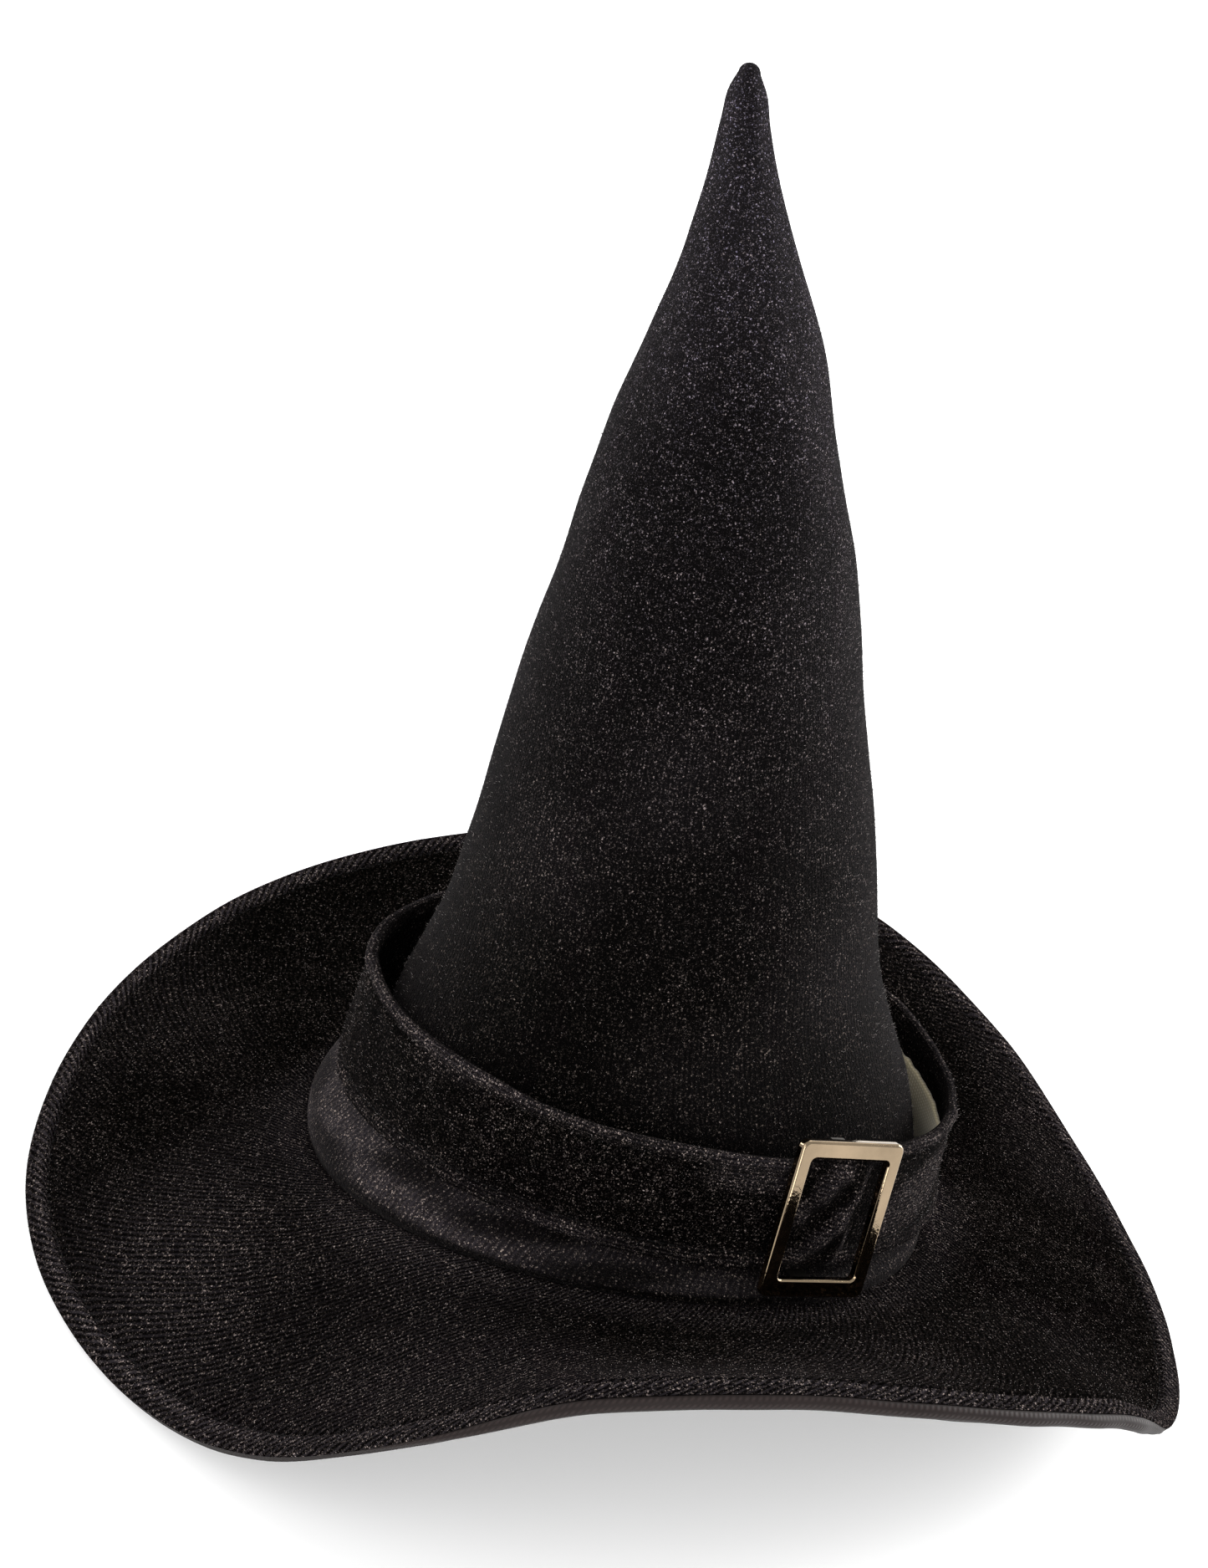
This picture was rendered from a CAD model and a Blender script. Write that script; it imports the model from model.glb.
import bpy, math
import numpy as np
from mathutils import Vector, Matrix


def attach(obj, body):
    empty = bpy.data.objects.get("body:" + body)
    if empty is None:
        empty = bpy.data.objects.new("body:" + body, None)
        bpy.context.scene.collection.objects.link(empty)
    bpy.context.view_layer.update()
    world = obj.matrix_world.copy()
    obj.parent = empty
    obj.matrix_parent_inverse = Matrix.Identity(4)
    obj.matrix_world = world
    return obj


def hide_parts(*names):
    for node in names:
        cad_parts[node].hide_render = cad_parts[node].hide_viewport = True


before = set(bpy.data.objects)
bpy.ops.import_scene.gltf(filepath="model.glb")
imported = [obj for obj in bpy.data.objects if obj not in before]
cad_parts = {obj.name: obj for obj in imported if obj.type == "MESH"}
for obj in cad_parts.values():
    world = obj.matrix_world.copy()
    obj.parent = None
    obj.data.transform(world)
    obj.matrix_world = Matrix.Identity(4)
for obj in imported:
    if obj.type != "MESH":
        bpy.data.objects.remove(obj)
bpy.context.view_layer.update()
rng = np.random.default_rng(7)
FINE = 1.0

# ------------------------------------------------------------------ the hat's upright layout (mm)
# Sizes that the CAD has too are the CAD's, but for two: the front left of the brim's edge is up to 1 mm
# higher here, and the brim's plies lie up to 0.2 mm off. Headings are in degrees: 0 is the front, 90 the
# right as seen from the front, and 180 the back.
SEAM_R, SEAM_C = 98.5, (-3.0, -3.0)
# the cone: level, radius, centre x, centre y, lean in degrees
RINGS = np.array([
    (0.0, 98.5, -3.0, -3.0, 0.0), (3.5, 98.4, -3.0, -3.0, 0.6), (7.0, 94.0, -1.5, -2.0, 2.4),
    (10.0, 89.2, 1.0, -1.0, 3.5), (15.0, 87.6, 2.2, 0.0, 3.5), (29.0, 85.8, 2.0, 0.0, 3.0),
    (44.0, 82.0, 1.0, 0.0, 2.0), (60.0, 75.5, -1.0, 0.0, 0.8), (76.0, 69.5, -2.4, 0.0, 0.0),
    (96.0, 65.6, -3.2, 0.0, 0.0), (122.0, 60.6, -4.6, 0.0, 0.0), (152.0, 54.6, -6.4, 0.0, 0.0),
    (182.0, 48.4, -8.2, 0.0, 0.0), (212.0, 42.0, -10.2, 0.0, 0.0), (242.0, 34.0, -12.4, 0.0, 0.0),
    (270.0, 25.6, -14.6, 0.0, 0.0), (296.0, 16.6, -18.0, 0.0, 0.0), (318.0, 10.4, -21.4, 0.0, 0.0),
    (332.0, 7.4, -23.6, 0.0, 0.0), (342.0, 5.4, -24.8, 0.0, 0.0), (346.5, 3.2, -25.2, 0.0, 0.0)])
# the brim's edge: heading, height above the seam, distance from the axis
EDGE = np.array([
    (-180, 38, 185), (-156, 29, 187), (-135, 14, 191), (-115, -4, 191), (-96, -20, 189),
    (-79, -34.8, 188), (-63, -46.5, 183), (-50, -54.1, 176), (-37, -47.0, 176), (-26, -30.5, 182),
    (-14, -6, 188), (0, 19, 191), (18, 26, 189), (36, 18, 190), (54, 0, 191), (72, -27, 189),
    (90, -34, 185), (108, -32, 186), (124, -21, 189), (138, -1, 191), (156, 26, 187)], float)
CURVE = 1.25                # how late the brim turns up or down on its way out
SEAM_LIP = 3.65             # seam allowance of the plies inside the crown seam
# depths below the brim's top face: the velour's back, the felt's faces, the satin's faces
VELOUR_BACK, FELT_TOP, FELT_LOW, SATIN_BACK, SATIN_FACE = 1.5, 1.62, 3.65, 3.75, 4.35
STITCH = 7.0                # the stitched channel's distance from the edge
FELT_TRIM = 7.4             # the felt stops this far short of the edge, at the channel
RIM_ZONE = 13.0             # within this of the edge the stations are closer
EDGE_STITCHES, BAND_STITCHES = 372, 190
CROWN_CLOTH = 1.4
LINING_OUT, LINING_IN, LINING_TOP = 1.65, 3.35, 318.0
RIBBON_OUT, RIBBON_IN, RIBBON_LOW, RIBBON_HIGH = 94.8, 94.0, -4.2, 2.0
REST_BACK, REST_LEFT, REST_SHIFT = 13.7, 3.7, Vector((-0.13, -3.06, 41.53))
REST = (Matrix.Translation(REST_SHIFT) @ Matrix.Rotation(math.radians(-REST_LEFT), 4, "Y")
        @ Matrix.Rotation(math.radians(-REST_BACK), 4, "X"))
BAND = Matrix.Translation((2.7, 0, 33.5)) @ Matrix.Rotation(math.radians(3.5), 4, "Y")
BAND_R, BAND_H = 95.0, 38.0
HEM_STITCH = 5.2            # the hems' stitches, from the band's edges
TACK_HEADINGS, TACK_Z = (-73.0, 98.0, 172.0), -16.0
STRIP_FROM, STRIP_ARC, STRIP_W, STRIP_R = 12.0, 150.0, 20.0, 92.9
BUCKLE_AT, BUCKLE_TILT = 35.8, -6.5
RIGHT, LEFT = 98, -95       # where the loose band hangs lowest


def place(points, m=REST):
    """Upright millimetres to the shared frame in metres."""
    a = np.array(m)
    return (points @ a[:3, :3].T + a[:3, 3]) / 1000.0


def hermite(x, xs, ys, period=None):
    """A smooth curve through the points (xs, ys), closed on itself where there is a period."""
    xs, ys = np.asarray(xs, float), np.asarray(ys, float)
    if period:
        x = (x - xs[0]) % period + xs[0]
        xs = np.concatenate([[xs[-1] - period], xs, [xs[0] + period, xs[1] + period]])
        ys = np.concatenate([[ys[-1]], ys, [ys[0], ys[1]]])
    m = np.gradient(ys, xs)
    if period:
        m[1:-1] = (ys[2:] - ys[:-2]) / (xs[2:] - xs[:-2])
    i = np.clip(np.searchsorted(xs, x, side="right") - 1, 0, len(xs) - 2)
    h = xs[i + 1] - xs[i]
    u = (x - xs[i]) / h
    return ((2 * u**3 - 3 * u**2 + 1) * ys[i] + (u**3 - 2 * u**2 + u) * h * m[i]
            + (3 * u**2 - 2 * u**3) * ys[i + 1] + (u**3 - u**2) * h * m[i + 1])


def step(a, b, x):
    """0 before a, 1 after b, and smooth between; it falls where a is the larger."""
    t = np.clip((x - a) / (b - a), 0, 1)
    return t * t * (3 - 2 * t)


class Waves:
    """Smooth seeded unevenness over heading (radians) and a second distance in mm."""

    def __init__(self, seed, count, k_max, d_min, d_max):
        r = np.random.default_rng(seed)
        self.k = r.integers(1, k_max + 1, count)
        self.f = 2 * math.pi / r.uniform(d_min, d_max, count) * r.choice([-1, 1], count)
        self.p = r.uniform(0, 2 * math.pi, count)
        self.n = count

    def __call__(self, th, d):
        out = 0
        for k, f, p in zip(self.k, self.f, self.p):
            out = out + np.sin(k * th + f * d + p)
        return out / math.sqrt(self.n / 2)


def seam_r(th):
    return SEAM_R + SEAM_C[0] * np.sin(th) - SEAM_C[1] * np.cos(th)


def edge_of(th):
    """The edge's height and distance from the axis at a heading."""
    d = np.degrees(th)
    return (hermite(d, EDGE[:, 0], EDGE[:, 1], 360.0), hermite(d, EDGE[:, 0], EDGE[:, 2], 360.0))


def seam_warp(th):
    """The seam rises and dips a little with the brim's saddle."""
    return 4.0 * np.cos(2 * th + 0.07) - 0.5


brim_waves = Waves(3, 9, 9, 60, 200)
brim_small = Waves(5, 14, 34, 18, 60)


def brim_z(th, r):
    """Height of the brim's top cloth: the CAD's brim with the front lip's bulge and small waves."""
    h, e = edge_of(th)
    inner = seam_r(th) + 2.0
    s = (r - inner) / (e - inner)
    sp = np.maximum(s, 0)
    z = h * sp**CURVE + seam_warp(th) * (1 - np.clip(sp * 1.6, 0, 1))**2
    d, deg = e - r, np.degrees(th)
    front = step(-24, 0, deg) * (1 - step(52, 72, deg))
    z = z + 3.6 * front * np.where(d < 7, step(0, 7, d), np.exp(-((d - 7) / 24.0) ** 2))
    body = np.clip(sp * 4, 0, 1) * (1 - 0.55 * sp)
    z = z + body * (1.1 * brim_waves(th, r) + 0.28 * brim_small(th, r))
    return z


def show(name, data):
    ob = bpy.data.objects.new(name, data)
    bpy.context.collection.objects.link(ob)
    return ob


def smooth(me):
    for p in me.polygons:
        p.use_smooth = True


def ring_mesh(name, pts, arc, m=REST, worn=None):
    """pts: stations x section x 3, closed round the opening and round the section. arc is the radius that
    the cloth's pattern is laid out on. worn, pts' shape without the 3, is where the nap is pressed."""
    n, k = pts.shape[:2]
    me = bpy.data.meshes.new(name)
    co = place(pts.reshape(-1, 3), m)
    i, j = np.meshgrid(np.arange(n), np.arange(k), indexing="ij")
    i2, j2 = (i + 1) % n, (j + 1) % k
    quads = np.stack([i * k + j, i2 * k + j, i2 * k + j2, i * k + j2], -1).reshape(-1, 4)
    me.vertices.add(n * k)
    me.vertices.foreach_set("co", co.ravel())
    me.loops.add(quads.size)
    me.loops.foreach_set("vertex_index", quads.ravel().astype(np.int32))
    me.polygons.add(len(quads))
    me.polygons.foreach_set("loop_start", np.arange(0, quads.size, 4, dtype=np.int32))
    me.polygons.foreach_set("use_smooth", np.ones(len(quads), bool))
    d = np.linalg.norm(np.diff(pts, axis=1, append=pts[:, :1]), axis=2).mean(0)
    v = np.concatenate([[0], np.cumsum(d)])
    u0 = np.stack([i, i + 1, i + 1, i], -1) / n * 2 * math.pi * arc
    v0 = np.stack([v[j], v[j], v[j + 1], v[j + 1]], -1)
    uv = me.uv_layers.new(name="cloth")
    uv.data.foreach_set("uv", (np.stack([u0, v0], -1) / 1000.0).ravel().astype(np.float32))
    me.update(calc_edges=True)
    if worn is not None:
        at = me.attributes.new("worn", "FLOAT", "POINT")
        at.data.foreach_set("value", np.broadcast_to(worn, (n, k)).astype(np.float32).ravel())
    me.validate()
    return show(name, me)


def heads(n):
    """n headings in radians, all the way round, as a column."""
    return (np.arange(n) / n * 2 * math.pi - math.pi)[:, None]


def xyz(th, r, z):
    """Points from headings, distances from the axis and heights."""
    th, r, z = np.broadcast_arrays(th, r, z)
    return np.stack([r * np.sin(th), -r * np.cos(th), z], -1)


# ------------------------------------------------------------------ materials
class Nodes:
    def __init__(self, name):
        self.m = bpy.data.materials.new(name)
        self.m.use_nodes = True
        self.t = self.m.node_tree
        self.b = self.t.nodes["Principled BSDF"]

    def add(self, kind, **values):
        nd = self.t.nodes.new(kind)
        for k, v in values.items():
            if hasattr(nd, k):
                setattr(nd, k, v)
            else:
                nd.inputs[k.replace("_", " ")].default_value = v
        return nd

    def link(self, a, b):
        self.t.links.new(a, b)

    def put(self, socket, v):
        """Sets a socket's value, or links it where v is another node's output."""
        if hasattr(v, "is_linked"):
            self.link(v, socket)
        else:
            socket.default_value = v

    def ramp(self, fac, stops):
        nd = self.t.nodes.new("ShaderNodeValToRGB")
        el = nd.color_ramp.elements
        while len(el) < len(stops):
            el.new(0.5)
        for e, (p, c) in zip(el, stops):
            e.position = p
            e.color = (*c, 1)
        self.link(fac, nd.inputs["Fac"])
        return nd.outputs["Color"]

    def math(self, op, a, b):
        nd = self.add("ShaderNodeMath", operation=op)
        self.put(nd.inputs[0], a)
        self.put(nd.inputs[1], b)
        return nd.outputs[0]

    def times(self, a, b):
        return self.math("MULTIPLY", a, b)

    def plus(self, a, b):
        return self.math("ADD", a, b)

    def mix(self, fac, a, b):
        nd = self.add("ShaderNodeMix", data_type="RGBA", blend_type="MIX")
        self.put(nd.inputs["Factor"], fac)
        self.put(nd.inputs["A"], a)
        self.put(nd.inputs["B"], b)
        return nd.outputs["Result"]

    def shade(self, **values):
        """Uniform values on the shader's own sockets."""
        for k, v in values.items():
            self.b.inputs[k.replace("_", " ")].default_value = v

    def bump(self, height, strength, distance):
        nd = self.add("ShaderNodeBump", Strength=strength, Distance=distance)
        self.link(height, nd.inputs["Height"])
        self.link(nd.outputs["Normal"], self.b.inputs["Normal"])


BLACK, WHITE = (0, 0, 0), (1, 1, 1)


def velour(name, wale, crushed, rise=0.0, sheen=0.011, body=0.5, rib=0.22, gloss=0.01, lit=0.15):
    """Short black pile: near black where it stands up, specks of light on the tips, paler where crushed.
    wale is the way the ribs run. crushed is how much of the nap lies over. rise makes it paler toward the
    crown's tip. body and rib are the wash and the ribs of worn cloth. lit is how bright standing tips are."""
    n = Nodes(name)
    uv = n.add("ShaderNodeUVMap", uv_map="cloth").outputs["UV"]
    ob = n.add("ShaderNodeTexCoord").outputs["Object"]

    def noise(scale, detail, rough, distort=0.0):
        nd = n.add("ShaderNodeTexNoise", Scale=scale, Detail=detail, Roughness=rough, Distortion=distort)
        n.link(ob, nd.inputs["Vector"])
        return nd.outputs["Fac"]

    crush = noise(15.0, 3.0, 0.62, 0.9)
    clump = noise(120.0, 4.0, 0.68, 0.6)
    nap = noise(1500.0, 2.0, 0.75, 0.2)
    pile = noise(3000.0, 1.0, 0.5)
    grain = n.ramp(noise(800.0, 2.0, 0.7), [(0.42, BLACK), (0.62, WHITE)])
    cell = n.add("ShaderNodeTexVoronoi", Scale=2600.0)
    n.link(ob, cell.inputs["Vector"])
    spark = n.ramp(cell.outputs["Color"], [(0.81, BLACK), (0.92, WHITE)])
    wave = n.add("ShaderNodeTexWave", wave_type="BANDS", bands_direction=wale, Scale=235.0,
                 Distortion=1.4, Detail=1.0)
    wave.inputs["Detail Scale"].default_value = 1.4
    n.link(uv, wave.inputs["Vector"])
    ribs = n.ramp(wave.outputs["Fac"], [(0.35, BLACK), (0.9, WHITE)])
    worn = n.add("ShaderNodeAttribute", attribute_name="worn").outputs["Fac"]
    # broad patches where the nap lies over and catches light
    lie = n.plus(n.times(crush, 0.60), n.times(clump, 0.45))
    lie = n.plus(lie, n.times(worn, 0.09))
    brushed = n.ramp(lie, [(0.50 - 0.04 * crushed, BLACK), (0.66 - 0.03 * crushed, WHITE)])
    # single lit tips, thinned by the ribs and by a slower grain
    speck = n.ramp(nap, [(0.52, BLACK), (0.68, WHITE)])
    fibre = n.ramp(pile, [(0.48, BLACK), (0.72, WHITE)])
    fine = n.plus(n.times(spark, 0.95),
                  n.times(n.times(speck, fibre), 0.50))
    fine = n.times(fine, n.plus(n.times(ribs, 0.65), 0.62))
    fine = n.times(fine, n.plus(n.times(grain, 1.05), 0.30))
    gain = n.plus(n.times(brushed, 0.26 + 0.62 * crushed),
                  n.plus(n.times(worn, 0.70), lit + 0.10 * crushed))
    ground = n.times(worn, n.plus(n.times(clump, body),
                                             n.times(ribs, rib)))
    if rise:
        pos = n.add("ShaderNodeSeparateXYZ")
        n.link(ob, pos.inputs[0])
        tall = n.ramp(n.times(pos.outputs["Z"], 2.6), [(0.33, BLACK), (0.95, WHITE)])
        gain = n.plus(gain, n.times(tall, rise))
        ground = n.plus(ground, n.times(tall, 0.12 * rise))
    light = n.times(fine, gain)
    # the tips run from warm to cool, over a ground from near black to violet grey
    cool = noise(1900.0, 1.0, 0.5, 0.0)
    cool = n.times(cool, n.plus(n.times(tall, 1.0), 0.45) if rise else 0.55)
    tint = n.mix(cool, (0.300, 0.237, 0.180, 1), (0.166, 0.155, 0.240, 1))
    deep = n.mix(ground, (0.0005, 0.0004, 0.00035, 1), (0.025, 0.0215, 0.0245, 1))
    n.link(n.mix(light, deep, tint), n.b.inputs["Base Color"])
    n.shade(Roughness=0.85, Specular_IOR_Level=gloss, Sheen_Weight=sheen, Sheen_Roughness=0.30,
            Sheen_Tint=(0.80, 0.73, 0.76, 1))
    height = n.plus(n.times(pile, 0.5),
                    n.plus(n.times(nap, 0.7),
                           n.plus(n.times(ribs, 0.5 * rib),
                                  n.times(clump, 0.6 + 2.4 * crushed))))
    n.bump(height, 0.75, 0.0010)
    return n.m


def woven(name, dark, light, scale, rough, sheen=0.2, spec=0.3, diag=False):
    """Plain or diagonal weave between two tones, a little uneven."""
    n = Nodes(name)
    uv = n.add("ShaderNodeUVMap", uv_map="cloth").outputs["UV"]
    a = n.add("ShaderNodeTexWave", wave_type="BANDS", bands_direction="DIAGONAL" if diag else "X",
              Scale=scale, Distortion=0.5, Detail=1.0)
    b = n.add("ShaderNodeTexWave", wave_type="BANDS", bands_direction="Y", Scale=scale,
              Distortion=0.5, Detail=1.0)
    spots = n.add("ShaderNodeTexNoise", Scale=26.0, Detail=5.0, Roughness=0.6)
    for nd in (a, b, spots):
        n.link(uv, nd.inputs["Vector"])
    w = n.times(a.outputs["Fac"], b.outputs["Fac"])
    fac = n.plus(n.times(w, 0.5), n.times(spots.outputs["Fac"], 0.6))
    n.link(n.ramp(fac, [(0.15, dark), (0.8, light)]), n.b.inputs["Base Color"])
    n.shade(Roughness=rough, Sheen_Weight=sheen, Specular_IOR_Level=spec)
    n.bump(w, 0.6, 0.0002)
    return n.m


def metal(name, tint, rough, scratch=0.08):
    """Metal with a soft haze in its tint and gloss, and fine scratches."""
    n = Nodes(name)
    ob = n.add("ShaderNodeTexCoord").outputs["Object"]
    haze = n.add("ShaderNodeTexNoise", Scale=60.0, Detail=6.0, Roughness=0.65)
    fine = n.add("ShaderNodeTexNoise", Scale=900.0, Detail=2.0)
    for nd in (haze, fine):
        n.link(ob, nd.inputs["Vector"])
    n.shade(Metallic=1.0)
    n.link(n.ramp(haze.outputs["Fac"], [(0.3, tint), (0.7, tuple(c * 0.72 for c in tint))]),
           n.b.inputs["Base Color"])
    n.link(n.plus(n.times(haze.outputs["Fac"], scratch), rough),
           n.b.inputs["Roughness"])
    n.bump(fine.outputs["Fac"], 0.12, 0.0002)
    return n.m


def plain(name, color, rough, spec=0.5):
    n = Nodes(name)
    n.shade(Base_Color=(*color, 1), Roughness=rough, Specular_IOR_Level=spec)
    return n.m


M_CROWN = velour("velour_crown", "X", 0.1, 0.8, sheen=0.030, gloss=0.014)
M_BRIM = velour("velour_brim", "DIAGONAL", 0.05, sheen=0.001, body=0.10, rib=0.48, gloss=0.0, lit=0.20)
M_BAND = velour("velour_band", "Y", 0.7, sheen=0.007, body=0.2, gloss=0.006)
M_SATIN = woven("satin", (0.0085, 0.0062, 0.0058), (0.021, 0.0155, 0.0147), 420, rough=0.55, sheen=0.02,
                spec=0.06, diag=True)
M_FELT = woven("stiff_lining", (0.008, 0.008, 0.0085), (0.02, 0.02, 0.021), 260, rough=0.9)
M_RIBBON = woven("ribbon", (0.004, 0.004, 0.004), (0.014, 0.014, 0.014), 300, rough=0.6)
M_CREAM = woven("cream_strip", (0.30, 0.25, 0.15), (0.55, 0.48, 0.32), 220, rough=0.85)
M_THREAD = woven("thread", (0.0008, 0.0007, 0.0007), (0.004, 0.0035, 0.0035), 700, rough=0.8, sheen=0.0,
                 spec=0.1)
M_BUCKLE = metal("gunmetal_plate", (0.27, 0.205, 0.135), 0.045, 0.05)
M_STEEL = metal("plated_bar", (0.12, 0.11, 0.10), 0.3)
M_WIRE = metal("spring_wire", (0.5, 0.5, 0.5), 0.35)


def finish_piece(ob, mat, body, replaced=()):
    """Its look, the body that carries it, the CAD solid that it replaces, and the slot it takes."""
    ob.data.materials.clear()
    ob.data.materials.append(mat)
    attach(ob, body)
    if replaced:
        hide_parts(*replaced)
    return ob


# ------------------------------------------------------------------ brim
NB = int(960 * FINE)
th = heads(NB)
h_e, r_e = edge_of(th)
hole = seam_r(th) - SEAM_LIP
t_in = np.linspace(0, 1, int(58 * FINE))[None, :]
pucker = 0.5 + 0.5 * np.cos(th * EDGE_STITCHES)


def channel(d):
    """Relief near the edge by distance from it: stitched groove, then the wire channel's round back."""
    groove = -1.45 * np.exp(-((d - STITCH) / 0.9) ** 2) * (0.75 + 0.25 * pucker)
    back = 1.0 * step(STITCH, STITCH - 2.4, d) * (1 - step(1.6, 0.0, d) * 0.4)
    pad = 0.35 * np.exp(-((d - STITCH - 3.0) / 2.0) ** 2)
    return groove + back + pad


r_far = r_e - RIM_ZONE
near_edge = np.array([0.18, 0.33, 0.42, 0.5, 0.56, 0.62, 0.7, 0.78, 0.86, 0.93, 0.97])[None, :]
r_top = np.concatenate([hole + (r_far - hole) * t_in, r_far + RIM_ZONE * near_edge], 1)
deg_b = np.degrees(th)
front = step(-24, -4, deg_b) * (1 - step(58, 74, deg_b))
roll_r = 1.95 + 1.1 * front
r_top = np.minimum(r_top, r_e - roll_r)
z_top = brim_z(th, r_top) + channel(r_e - r_top)
pull = np.exp(-((deg_b - 40) / 9.0) ** 2) * step(9, 4, r_e - r_top)
z_top = z_top + 0.30 * pull * np.sin(2 * math.pi * ((r_e - r_top) / 2.8 + (deg_b - 40) / 7.0))
top = xyz(th, r_top, z_top)
# velour goes over the rim and stops at a seam: under it, or half way down it at the front
r_c = r_e - roll_r
zc = brim_z(th, r_c) + channel(roll_r) - roll_r
join = -52.0 + 84.0 * front
arc_v = np.radians(78.0 + (join + 4 - 78.0) * np.linspace(0, 1, 9)[None, :])
rim_v = xyz(th, r_c + roll_r * np.cos(arc_v), zc + roll_r * np.sin(arc_v))
fold_r, end_v = roll_r - 1.1, arc_v[:, -1:]
in_v = xyz(th, r_c + fold_r * np.cos(end_v), zc + fold_r * np.sin(end_v))


def worn_brim(r):
    """Pale along the rim, at the crown's foot and in a patch near the front."""
    d = r_e - r
    rim = 1.05 * step(7.5, 5.0, d)
    foot = 0.55 * np.exp(-((r - seam_r(th) - 5) / 9.0) ** 2)
    lap = 0.75 * np.exp(-((deg_b + 18) / 55) ** 2) * np.exp(-((d - 9) / 38.0) ** 2)
    return np.clip(rim + foot + lap + 0.16 * brim_waves(th, r), 0, 1.3)


r_back = np.concatenate([r_e - 3.0, r_e - STITCH, hole + (r_far - hole) * np.linspace(1, 0, 14)[None, :]], 1)
back = xyz(th, r_back, brim_z(th, r_back) - VELOUR_BACK)
wb = np.concatenate([worn_brim(r_top), 0.8 + 0 * arc_v, 0 * in_v[..., 0], 0 * r_back], 1)
brim = ring_mesh("brim_velour", np.concatenate([top, rim_v, in_v, back], 1), 150, worn=wb)
finish_piece(brim, M_BRIM, "hat", ("brim_upper",))

# satin under cloth: gathers near the right tip, wraps the rim up to the seam
gather = Waves(21, 10, 60, 25, 90)
wide = Waves(22, 6, 14, 80, 200)
bunch = np.exp(-((np.degrees(th) - 62) / 26) ** 2)


def satin_z(r):
    d = r_e - r
    s = np.clip((r - hole) / (r_e - hole), 0, 1)
    ripple = (0.35 + 1.1 * bunch) * gather(th, r) * 0.55 + 0.5 * wide(th, r)
    ease = np.clip(d / 9.0, 0, 1) * np.clip(s * 5, 0, 1)
    groove = 0.6 * np.exp(-((d - STITCH) / 0.9) ** 2)
    deep = (2 * roll_r - 4.1) * step(STITCH, 2.0, d)
    hang = np.maximum(ripple + 0.6, -0.15) * ease     # never up through the felt
    return brim_z(th, r) - SATIN_FACE - hang + groove - deep - 0.35 * step(STITCH, 3.0, d)


arc_s = np.radians(join + (-84.0 - join) * np.linspace(0, 1, 8)[None, :])
past_join = (np.radians(join) - arc_s) * 1.6
full_s = 1.0 + (0.16 + 0.22 * front) * np.sin(np.clip(past_join, 0, math.pi / 2))
gathers = (0.06 + 0.30 * bunch * front) * gather(th, 0.0) * np.sin(np.clip(past_join, 0, math.pi))
rs_ = roll_r * full_s - 0.12 + gathers
rim_s = xyz(th, r_c + rs_ * np.cos(arc_s), zc + rs_ * np.sin(arc_s))
by_edge = [r_e - d for d in (4.2, 5.6, 6.4, STITCH, 7.6, 8.6, 10.5)]
r_under = np.concatenate([r_c - 0.3, *by_edge,
                          hole + (r_far - hole) * np.linspace(1, 0, int(44 * FINE))[None, :]], 1)
under = xyz(th, r_under, satin_z(r_under))
r_in = np.concatenate([hole + (r_far - hole) * np.linspace(0, 1, 12)[None, :], r_e - STITCH, r_e - 3.0], 1)
inside = xyz(th, r_in, brim_z(th, r_in) - SATIN_BACK)
lip_r, arc_lip = roll_r - 0.75, arc_s[:, ::-1][:, 1:]
lip = xyz(th, r_c + lip_r * np.cos(arc_lip), zc + lip_r * np.sin(arc_lip))
satin = ring_mesh("brim_satin", np.concatenate([rim_s, under, inside, lip], 1), 150)
finish_piece(satin, M_SATIN, "hat", ("brim_lower",))

r_f = hole + (r_e - FELT_TRIM - hole) * np.linspace(0, 1, 14)[None, :]
r_f2 = r_f[:, ::-1]
felt = ring_mesh("brim_felt", np.concatenate([xyz(th, r_f, brim_z(th, r_f) - FELT_TOP),
                                              xyz(th, r_f2, brim_z(th, r_f2) - FELT_LOW)], 1), 150)
finish_piece(felt, M_FELT, "hat", ("brim_interlining",))

# ------------------------------------------------------------------ crown
NC = int(420 * FINE)
thc = heads(NC)
crown_waves = Waves(31, 8, 5, 70, 240)
crown_small = Waves(33, 12, 13, 25, 90)


def crown_points(level, inset):
    """Outer wall of the crown at the given levels, moved inward by inset."""
    r = hermite(level, RINGS[:, 0], RINGS[:, 1])
    cx, cy, lean = (hermite(level, RINGS[:, 0], RINGS[:, c]) for c in (2, 3, 4))
    full = hermite(level, [0, 3, 7, 10.5, 13.5, 16.5, 20, 400],
                   [98.5, 100.2, 100.6, 98.8, 94.0, 89.0, 87.0, 0])
    side = 0.5 * (1 - np.cos(thc - math.radians(50)))
    puff = np.where(level < 19, np.maximum(full - r, 0) * side, 0)
    soft = step(60, 110, level) * (0.45 * crown_waves(thc, level) + 0.12 * crown_small(thc, level))
    soft = soft * np.clip(r / 30, 0.15, 1)
    low = 0.5 * crown_small(thc, level * 2) * step(1, 5, level) * step(14, 8, level)
    off = r * (math.pi - np.abs(thc))     # distance from the back seam
    seam = (0.35 * np.exp(-((off - 3.4) / 1.7) ** 2)
            - 0.75 * np.exp(-(off / 1.4) ** 2) * (1 + 0.25 * np.cos(level * 1.3)))
    seam = seam * step(2, 12, level) * np.clip(r / 12, 0, 1)
    rr = np.maximum(r + puff + soft + low + seam - inset, 0.15)
    x, y = cx + rr * np.sin(thc), cy - rr * np.cos(thc)
    z = level - rr * np.sin(thc) * np.tan(np.radians(lean)) + seam_warp(thc) * (1 - step(0, 11, level))
    return np.stack(np.broadcast_arrays(x, y, z), -1)


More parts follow.
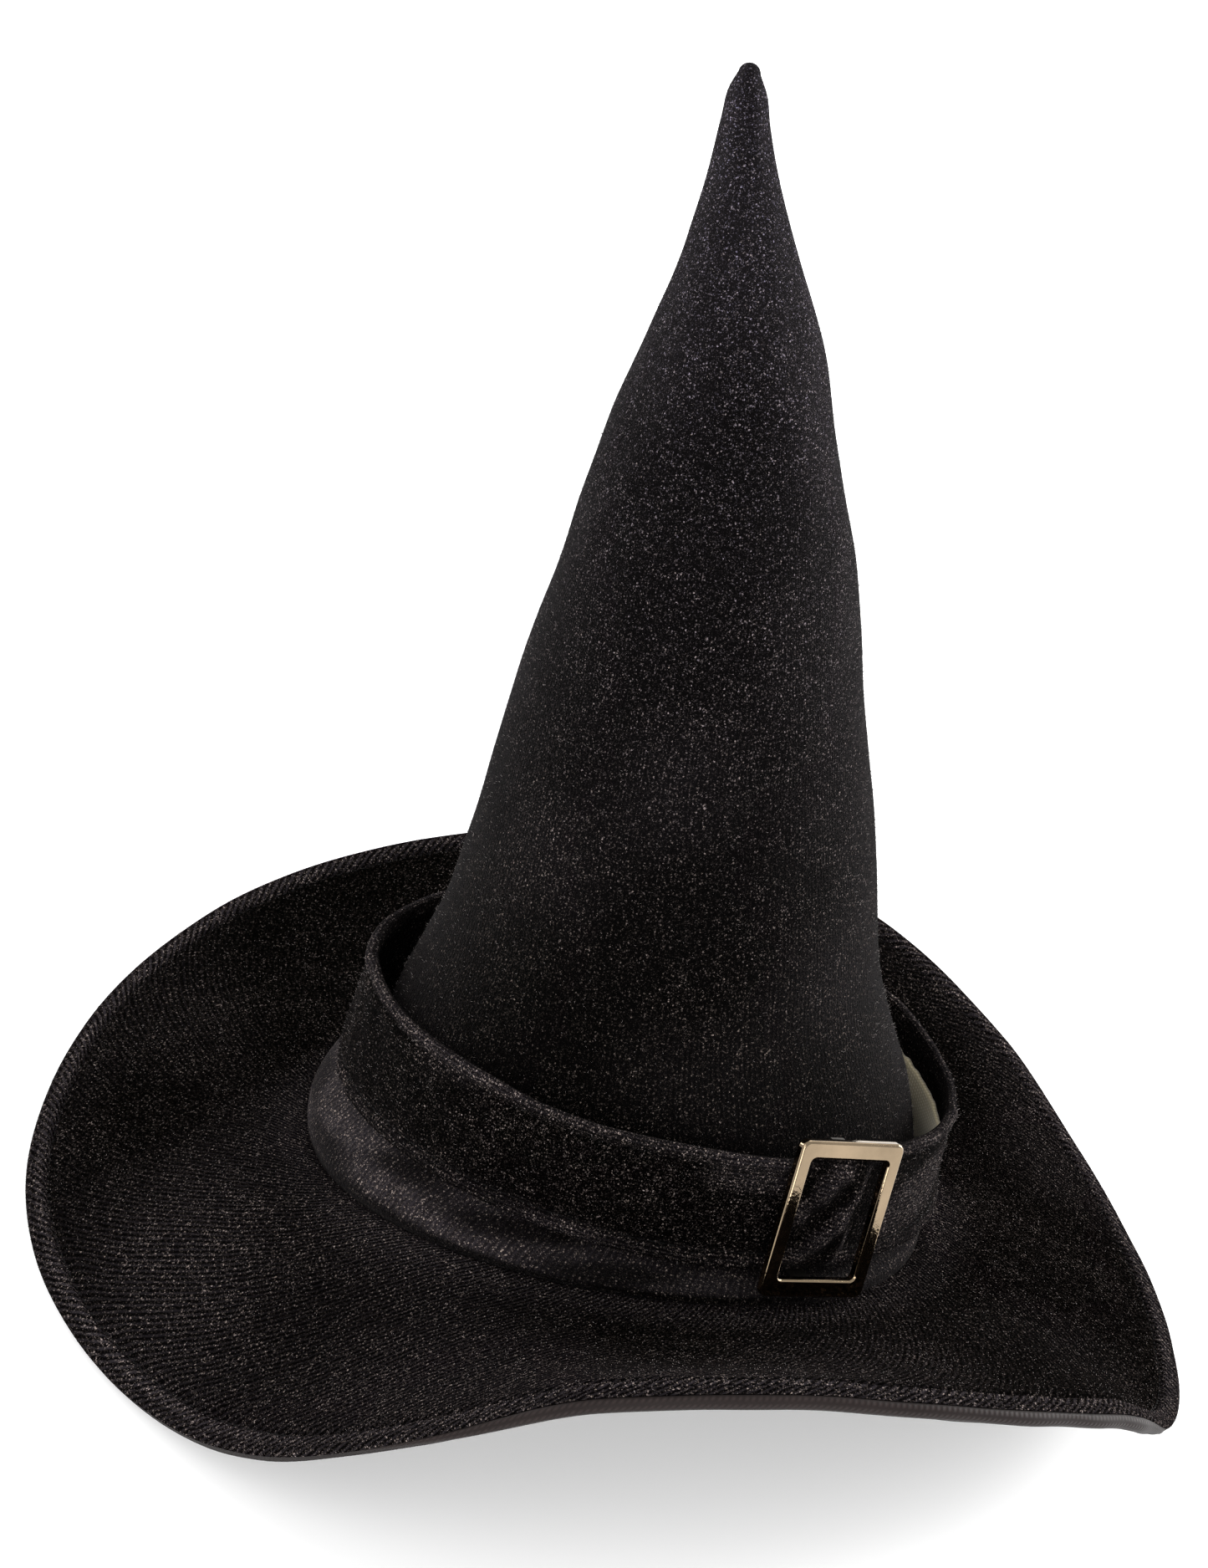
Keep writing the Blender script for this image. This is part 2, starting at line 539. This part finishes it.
lv = np.concatenate([np.linspace(0, 20, int(34 * FINE)), np.linspace(21.5, 340, int(150 * FINE)),
                     [342, 344, 345.4, 346.3]])[None, :]
tip = np.array(RINGS[-1])
cap = np.stack([np.stack([tip[2] + q * np.sin(thc[:, 0]), tip[3] - q * np.cos(thc[:, 0]),
                          np.full(NC, 346.4 + 3.0 * math.sqrt(max(0, 1 - (q / 3.25) ** 2)))], -1)
                for q in (3.1, 2.6, 1.8, 0.9, 0.05)], 1)
outer = crown_points(lv, 0.0)
lv_in = lv[:, ::-1][:, 4::5]
inner = crown_points(np.minimum(lv_in, 343.0), CROWN_CLOTH)
deg_c = np.degrees(thc)
left = np.exp(-((deg_c + 62) / 55) ** 2)
creased = np.clip(0.85 + 0.45 * crown_small(thc, lv * 4), 0.25, 1.4)
wc = (step(1.5, 5, lv) * step(20, 11, lv) * (0.5 + 1.1 * left) * creased + 0.5 * step(230, 330, lv)
      + 0.10 * crown_waves(thc, lv))
wc = np.clip(wc, 0, 1.5)
crown = ring_mesh("crown_velour", np.concatenate([outer, cap, inner], 1), 62,
                  worn=np.concatenate([wc, np.full((NC, 5), 0.5), np.zeros((NC, lv_in.shape[1]))], 1))
finish_piece(crown, M_CROWN, "hat", ("crown_cone",))
lv2 = np.linspace(0.3, LINING_TOP, int(70 * FINE))[None, :]
lining = ring_mesh("crown_stiffener", np.concatenate([crown_points(lv2, LINING_OUT),
                                                      crown_points(lv2[:, ::-1], LINING_IN)], 1), 62)
finish_piece(lining, M_FELT, "hat", ("crown_interlining",))

# ------------------------------------------------------------------ sweatband ribbon
ths = heads(int(360 * FINE))
zs = np.linspace(RIBBON_LOW, RIBBON_HIGH, 8)[None, :]


def ribbon(r, z):
    p = xyz(ths, r + 0 * z, z + seam_warp(ths))
    return p + np.array([SEAM_C[0], SEAM_C[1], 0])


sweat = ring_mesh("sweat_ribbon", np.concatenate([ribbon(RIBBON_OUT, zs), ribbon(RIBBON_IN, zs[:, ::-1])], 1),
                  94)
finish_piece(sweat, M_RIBBON, "hat", ("sweatband",))

# ------------------------------------------------------------------ hat band (own frame)
NH = int(900 * FINE)
thb = heads(NH)
band_waves = Waves(41, 8, 9, 40, 120)
band_small = Waves(43, 12, 40, 12, 50)


def band_r(z):
    """Outer face of the band: hem ridges, stitched grooves, gentle crush."""
    t = BAND_H / 2 - z
    b = BAND_H / 2 + z
    pk = 0.5 + 0.5 * np.cos(thb * BAND_STITCHES)
    g = -1.25 * np.exp(-((t - HEM_STITCH) / 0.9) ** 2) * (0.7 + 0.3 * pk)
    g = g - 0.75 * np.exp(-((b - HEM_STITCH) / 0.9) ** 2) * (0.7 + 0.3 * pk)
    g = g + 0.95 * np.exp(-((t - 2.3) / 1.7) ** 2) + 0.55 * np.exp(-((b - 2.3) / 1.7) ** 2)
    quiet = 1 - np.exp(-((np.degrees(thb) - 36) / 26) ** 2)
    w = quiet * np.clip(0.42 * band_waves(thb, z) + 0.2 * band_small(thb, z), -0.55, 1.3)
    dimple = 0
    for a in TACK_HEADINGS:
        d = np.degrees(thb) - a
        d = (d + 180) % 360 - 180
        dimple = dimple - 1.6 * np.exp(-(d / 2.2) ** 2 - ((z - TACK_Z) / 3.0) ** 2)
    return BAND_R + (g + w) + dimple


def band_drop(th_, z):
    """The loose band hangs lower on the right, and a little on the left."""
    d = np.degrees(th_)
    return (-6.5 * np.exp(-((d - RIGHT) / 34) ** 2) - 2.2 * np.exp(-((d - LEFT) / 36) ** 2)
            + 0.35 * band_waves(th_, 0.0) * (z > 0))


def band_flare(th_, z):
    """It stands out from the cone at its lower edge on both sides."""
    d = np.degrees(th_)
    return (3.0 * np.exp(-((d - RIGHT) / 34) ** 2) * step(2, -19, z)
            + 3.6 * np.exp(-((d + 88) / 42) ** 2) * step(19, -17, z))


zb = np.concatenate([[-18.9, -18.7], np.linspace(-18.2, 18.2, int(56 * FINE)), [18.7, 18.9]])[None, :]
r_b = band_r(zb) + band_flare(thb, zb)
r_b[:, [0, -1]] -= 0.7
out_b = xyz(thb, r_b, zb + band_drop(thb, zb))
zi = np.array([18.4, 15, 13.2, 12.9, 4, -4, -12.9, -13.2, -15, -18.4])[None, :]
ri = np.where(np.abs(zi) > 13, 92.3, 93.6)
in_b = xyz(thb, ri + (band_r(zi) - BAND_R) * 0.5 + band_flare(thb, zi), zi + band_drop(thb, zi))
patch = step(0.1, 1.3, Waves(47, 9, 7, 30, 90)(thb, zb))
wn = (1.0 * np.exp(-((BAND_H / 2 - zb - 0.8) / 1.9) ** 2)
      + 0.5 * np.exp(-((BAND_H / 2 + zb - 3) / 2.4) ** 2) + 0.95 * patch)
band = ring_mesh("band_velour", np.concatenate([out_b, in_b], 1), 95, m=REST @ BAND,
                 worn=np.concatenate([np.clip(wn, 0, 1.4), np.zeros((NH, in_b.shape[1]))], 1))
finish_piece(band, M_BAND, "hat", ("hat_band",))


def arc_mesh(name, front, rear, m):
    """A strip that ends: front and rear are stations x levels x 3."""
    n, k = front.shape[:2]
    v = np.concatenate([front.reshape(-1, 3), rear.reshape(-1, 3)])
    o = n * k
    f = []
    for i in range(n - 1):
        for j in range(k - 1):
            a = i * k + j
            f.append([a, a + 1, a + k + 1, a + k])
            f.append([a + o, a + k + o, a + k + 1 + o, a + 1 + o])
    edge = [(i, 0) for i in range(n)] + [(n - 1, j) for j in range(1, k)] + \
           [(i, k - 1) for i in range(n - 2, -1, -1)] + [(0, j) for j in range(k - 2, 0, -1)]
    for q in range(len(edge)):
        a = edge[q][0] * k + edge[q][1]
        b = edge[(q + 1) % len(edge)][0] * k + edge[(q + 1) % len(edge)][1]
        f.append([a, b, b + o, a + o])
    me = bpy.data.meshes.new(name)
    me.from_pydata(place(v, m).tolist(), [], f)
    uvs = me.uv_layers.new(name="cloth")
    li = np.zeros(len(me.loops), np.int32)
    me.loops.foreach_get("vertex_index", li)
    g = li % o
    uv = np.stack([g // k * 0.8, g % k * 1.8], -1) / 1000.0
    uvs.data.foreach_set("uv", uv.ravel().astype(np.float32))
    smooth(me)
    return show(name, me)


tha = np.radians(np.linspace(STRIP_FROM, STRIP_FROM + STRIP_ARC, int(260 * FINE)))[:, None]
zt = np.linspace(-12.9, 7.0, 14)[None, :]
fray = 0.3 * Waves(51, 14, 90, 5, 9)(tha, 0.0) * (zt > 6.9)
so = xyz(tha, 93.4 + band_flare(tha, zt), zt + fray + band_drop(tha, zt * 0 - 1))
si = xyz(tha, 92.2 + band_flare(tha, zt), zt + fray + band_drop(tha, zt * 0 - 1))
stiff = arc_mesh("cream_strip", so, si, REST @ BAND)
finish_piece(stiff, M_CREAM, "hat", ("band_stiffener",))


# ------------------------------------------------------------------ threads
def capsule_mesh(name, starts, ends, radius, m, sides=6):
    """Short rounded threads, one from each start to its end."""
    verts, faces = [], []
    for a, b in zip(starts, ends):
        ax = b - a
        L = np.linalg.norm(ax)
        ax = ax / L
        s = np.cross(ax, [0.3, 0.2, 0.93])
        s = s / np.linalg.norm(s)
        q = np.cross(ax, s)
        base = len(verts)
        prof = [(0.0, 0.15), (0.18, 0.8), (0.5, 1.0), (0.82, 0.8), (1.0, 0.15)]
        for u, w in prof:
            for k in range(sides):
                c = 2 * math.pi * k / sides
                verts.append(a + ax * L * u + (s * math.cos(c) + q * math.sin(c)) * radius * w)
        for i in range(len(prof) - 1):
            for k in range(sides):
                k2 = (k + 1) % sides
                faces.append([base + i * sides + k, base + i * sides + k2,
                              base + (i + 1) * sides + k2, base + (i + 1) * sides + k])
        faces.append([base + k for k in range(sides)][::-1])
        faces.append([base + (len(prof) - 1) * sides + k for k in range(sides)])
    me = bpy.data.meshes.new(name)
    me.from_pydata(place(np.array(verts), m).tolist(), [], faces)
    me.uv_layers.new(name="cloth")
    smooth(me)
    return show(name, me)


def stitches(name, n, path, radius, m=REST, duty=0.74):
    a = np.arange(n) / n * 2 * math.pi - math.pi
    ob = capsule_mesh(name, path(a), path(a + 2 * math.pi / n * duty), radius, m)
    return finish_piece(ob, M_THREAD, "hat")


def edge_path(a):
    a = (a + math.pi) % (2 * math.pi) - math.pi
    r = edge_of(a)[1] - STITCH
    return xyz(a, r, brim_z(a, r) - 1.0)


edge_st = stitches("edge_stitches", EDGE_STITCHES, edge_path, 0.32)


def band_path(z):
    """The line of stitches at a level of the band, just proud of its groove."""
    def path(a):
        i = ((a + math.pi) / (2 * math.pi) * NH) % NH
        rr = np.interp(i, np.arange(NH), band_r(np.array([[z]]))[:, 0], period=NH)
        a = (a + math.pi) % (2 * math.pi) - math.pi
        rr = rr + 0.05 + band_flare(a, z)
        return xyz(a, rr, z + band_drop(a, z))
    return path


def tack_ends(r):
    return xyz(np.radians(np.array(TACK_HEADINGS)), r, TACK_Z)


top_st = stitches("band_top_stitches", BAND_STITCHES, band_path(BAND_H / 2 - HEM_STITCH), 0.28, REST @ BAND)
foot_st = stitches("band_foot_stitches", BAND_STITCHES, band_path(HEM_STITCH - BAND_H / 2), 0.28, REST @ BAND)
tacks = capsule_mesh("tack_threads", tack_ends(86.4), tack_ends(94.2), 0.6, REST @ BAND)
finish_piece(tacks, M_THREAD, "hat", ("band_tacks",))

# ------------------------------------------------------------------ pile tufts standing on the velour
TUFT = 0.95                 # mm; each has from 0.55 to 1.25 of it


def tufts(name, surf, count, m=REST, keep=None, shiny=0.14):
    """Thin closed spikes on surf, rows x columns x 3 of outer cloth, closed along the first index. keep is 0
    where none stand, and shiny is the share of lit ones."""
    count = int(count * (1.0))
    n, k = surf.shape[:2]
    du = np.roll(surf, -1, 0) - surf
    dv = np.concatenate([np.diff(surf, axis=1), surf[:, -1:] - surf[:, -2:-1]], 1)
    nrm = np.cross(du, dv)
    size = np.linalg.norm(nrm, axis=2)
    w = size[:, :-1] if keep is None else size[:, :-1] * keep[:, :-1]
    pick = rng.choice(n * (k - 1), count, p=(w / w.sum()).ravel())
    i, j = pick // (k - 1), pick % (k - 1)
    a, b = rng.random(count)[:, None], rng.random(count)[:, None]
    p = surf[i, j] + a * du[i, j] + b * dv[i, j]
    up_ = nrm[i, j] / size[i, j][:, None]
    along = dv[i, j] / np.linalg.norm(dv[i, j], axis=1)[:, None]
    lean = up_ + 0.45 * along + 0.55 * rng.normal(size=(count, 3)) * 0.7
    lean /= np.linalg.norm(lean, axis=1)[:, None]
    s1 = np.cross(lean, rng.normal(size=(count, 3)))
    s1 /= np.linalg.norm(s1, axis=1)[:, None]
    s2 = np.cross(lean, s1)
    wd = rng.uniform(0.05, 0.085, count)[:, None]
    ln = TUFT * rng.uniform(0.55, 1.25, count)[:, None]
    foot = p - up_ * 0.15
    v = np.stack([foot + s1 * wd, foot + (s2 * 0.87 - s1 * 0.5) * wd,
                  foot - (s2 * 0.87 + s1 * 0.5) * wd, foot + lean * ln], 1).reshape(-1, 3)
    o = np.arange(count)[:, None, None] * 4
    f = (o + np.array([[0, 2, 1], [0, 1, 3], [1, 2, 3], [2, 0, 3]])[None]).reshape(-1, 3)
    me = bpy.data.meshes.new(name)
    me.vertices.add(len(v))
    me.vertices.foreach_set("co", place(v, m).ravel())
    me.loops.add(f.size)
    me.loops.foreach_set("vertex_index", f.ravel().astype(np.int32))
    me.polygons.add(len(f))
    me.polygons.foreach_set("loop_start", np.arange(0, f.size, 3, dtype=np.int32))
    me.polygons.foreach_set("use_smooth", np.ones(len(f), bool))
    me.update(calc_edges=True)
    ob = finish_piece(show(name, me), M_PILE, "hat", ())
    me.materials.append(M_GLINT)
    me.polygons.foreach_set("material_index", np.repeat(rng.random(count) < shiny, 4).astype(np.int32))
    return ob


M_PILE = plain("pile_tips", (0.002, 0.0017, 0.0017), 0.7, 0.03)
M_GLINT = plain("pile_tips_lit", (0.26, 0.23, 0.225), 0.6, 0.1)
crown_pile = tufts("crown_pile", outer[:, int(30 * FINE):], 42000)
brim_pile = tufts("brim_pile", np.concatenate([top, rim_v], 1), 48000, shiny=0.12)
# none where the buckle and the cloth in its window slide
clear = step(19.0, 21.0, np.abs(np.degrees(thb) - BUCKLE_AT)) + 0 * zb
band_pile = tufts("band_pile", out_b, 15000, REST @ BAND, keep=clear)

# ------------------------------------------------------------------ buckle, wire (their CAD solids stay)
for node, mat in (("buckle_frame", M_BUCKLE), ("buckle_bar", M_STEEL), ("brim_wire", M_WIRE),
                  ("wire_ferrule", M_WIRE)):
    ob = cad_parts[node]
    ob.data.materials.clear()
    ob.data.materials.append(mat)
    smooth(ob.data)

# cloth drawn up through the buckle's window: its own gathered fold, moving with the buckle
bt = math.radians(BUCKLE_TILT)
K = 61                      # points along each side of the fold
gu, gv = np.meshgrid(np.linspace(-1, 1, K), np.linspace(-1, 1, K), indexing="ij")
W2, H2 = 14.6, 18.6         # half the window
fold = Waves(61, 9, 3, 9, 26)
fall = (1 - np.abs(gu) ** 3.2) * (1 - np.abs(gv) ** 5)
crumple = fold(gu * 2, gv * H2)
lift = 4.0 * fall ** 0.8 * (0.86 + 0.14 * np.cos(gv * 1.2)) + 0.75 * crumple * fall
lift = lift * (1 - 0.85 * step(0.62, 0.98, gu))
tx = gu * W2 - 0.6
ty = gv * H2
upz = tx * math.sin(bt) + ty * math.cos(bt) + 0.5
ang = math.radians(BUCKLE_AT) + (tx * math.cos(bt) - ty * math.sin(bt)) / 96.0
face = xyz(ang, 95.4 + lift, upz)
back_f = xyz(ang, 95.2 + np.maximum(lift - 1.2, 0), upz)
verts = np.concatenate([face.reshape(-1, 3), back_f.reshape(-1, 3)])
faces = []
for i in range(K - 1):
    for j in range(K - 1):
        a = i * K + j
        faces.append([a, a + K, a + K + 1, a + 1])
        faces.append([a + 1 + K * K, a + K + 1 + K * K, a + K + K * K, a + K * K])
rimv = [(i, 0) for i in range(K - 1)] + [(K - 1, j) for j in range(K - 1)] + \
       [(i, K - 1) for i in range(K - 1, 0, -1)] + [(0, j) for j in range(K - 1, 0, -1)]
for q in range(len(rimv)):
    (i1, j1), (i2, j2) = rimv[q], rimv[(q + 1) % len(rimv)]
    a, b = i1 * K + j1, i2 * K + j2
    faces.append([a, a + K * K, b + K * K, b])
me = bpy.data.meshes.new("window_fold")
me.from_pydata(place(verts, REST @ BAND).tolist(), [], faces)
uvl = me.uv_layers.new(name="cloth")
flat = np.concatenate([np.stack([tx, ty], -1).reshape(-1, 2)] * 2) / 1000.0
li = np.zeros(len(me.loops), np.int32)
me.loops.foreach_get("vertex_index", li)
uvl.data.foreach_set("uv", flat[li].ravel().astype(np.float32))
press = np.tile(np.clip(0.35 + 0.45 * crumple, 0, 1.2).ravel(), 2).astype(np.float32)
me.attributes.new("worn", "FLOAT", "POINT").data.foreach_set("value", press)
smooth(me)
hump = finish_piece(show("window_fold", me), M_BAND, "buckle", ())


def ring_cut(trim, turned=0.0):
    """One ply of the brim, cut as a ring: it stops trim short of the edge, and turned is the width that
    goes over the rim. It follows the CAD's smooth brim, without the small waves."""
    r = hole + (r_e - trim - hole) * np.linspace(0, 1, 200)[None, :]
    inner = seam_r(th) + 2.0
    s = np.maximum((r - inner) / (r_e - inner), 0)
    p = xyz(th, r, h_e * s**CURVE + seam_warp(th) * (1 - np.clip(s * 1.6, 0, 1))**2)
    outward, around = np.diff(p, axis=1), np.roll(p, -1, 0) - p
    cells = np.linalg.norm(np.cross(around[:, :-1], outward), axis=2).sum()
    rim = np.linalg.norm(around[:, -1], axis=1).sum()
    reach = hole[:, 0] + np.linalg.norm(outward, axis=2).sum(1) + turned
    return (2 * reach.max() / 1e3,) * 2, (cells + rim * turned) / 1e6


VELOUR_TURNED = 2.9         # the width that goes over the rim
ring_cut(0.0, VELOUR_TURNED)
ring_cut(0.0)
ring_cut(FELT_TRIM)

# ------------------------------------------------------------------ studio
bpy.ops.mesh.primitive_plane_add(size=6.0, location=(0, 0, -0.0005))
floor = bpy.context.object
floor.name = "floor"
pale = plain("floor_pale", (0.86, 0.86, 0.86), 0.9)
glow = pale.node_tree.nodes["Principled BSDF"].inputs     # softens the shadow, as on the photograph's white
glow["Emission Color"].default_value = (1, 1, 1, 1)
glow["Emission Strength"].default_value = 0.2
floor.data.materials.append(pale)

world = bpy.data.worlds.new("studio")
bpy.context.scene.world = world
world.use_nodes = True
sky = world.node_tree.nodes["Background"].inputs
sky["Color"].default_value = (1.0, 1.0, 1.0, 1)
sky["Strength"].default_value = 1.0


def area_light(name, where, size, power, aim=(0, 0, 0.17)):
    data = bpy.data.lights.new(name, "AREA")
    data.energy, data.size = power, size
    ob = show(name, data)
    ob.location = where
    ob.rotation_euler = (Vector(aim) - Vector(where)).to_track_quat("-Z", "Y").to_euler()


area_light("key", (-0.9, -1.3, 1.7), 1.1, 14)
area_light("low", (0.2, -1.4, 0.5), 0.9, 15, aim=(0.05, -0.1, 0.0))
area_light("side", (1.45, 0.75, 0.55), 0.9, 40)
area_light("left", (-1.45, 0.85, 0.55), 0.9, 18)
area_light("rim", (0.5, 1.4, 1.3), 1.0, 10)

# camera at the viewing angle of the reference, worked out in the upright layout
E, ROLL, DIST, TARGET = math.radians(21.0), math.radians(10.5), 1200.0, Vector((-29.1, 0, 122.6))
back_v = Vector((0, -math.cos(E), math.sin(E)))
right0 = Vector((1, 0, 0))
up0 = back_v.cross(right0)
right = math.cos(ROLL) * right0 + math.sin(ROLL) * up0
up = -math.sin(ROLL) * right0 + math.cos(ROLL) * up0
eye = Matrix((right, up, back_v)).transposed().to_4x4()
eye.translation = TARGET + back_v * DIST
eye = REST @ eye
eye.translation = eye.translation / 1000.0
cam_data = bpy.data.cameras.new("camera")
cam_data.sensor_fit = "VERTICAL"
cam_data.sensor_height = 36.0
cam_data.lens = 89.3
cam = show("camera", cam_data)
cam.matrix_world = eye
bpy.context.scene.camera = cam
bpy.context.scene.view_settings.view_transform = "Standard"
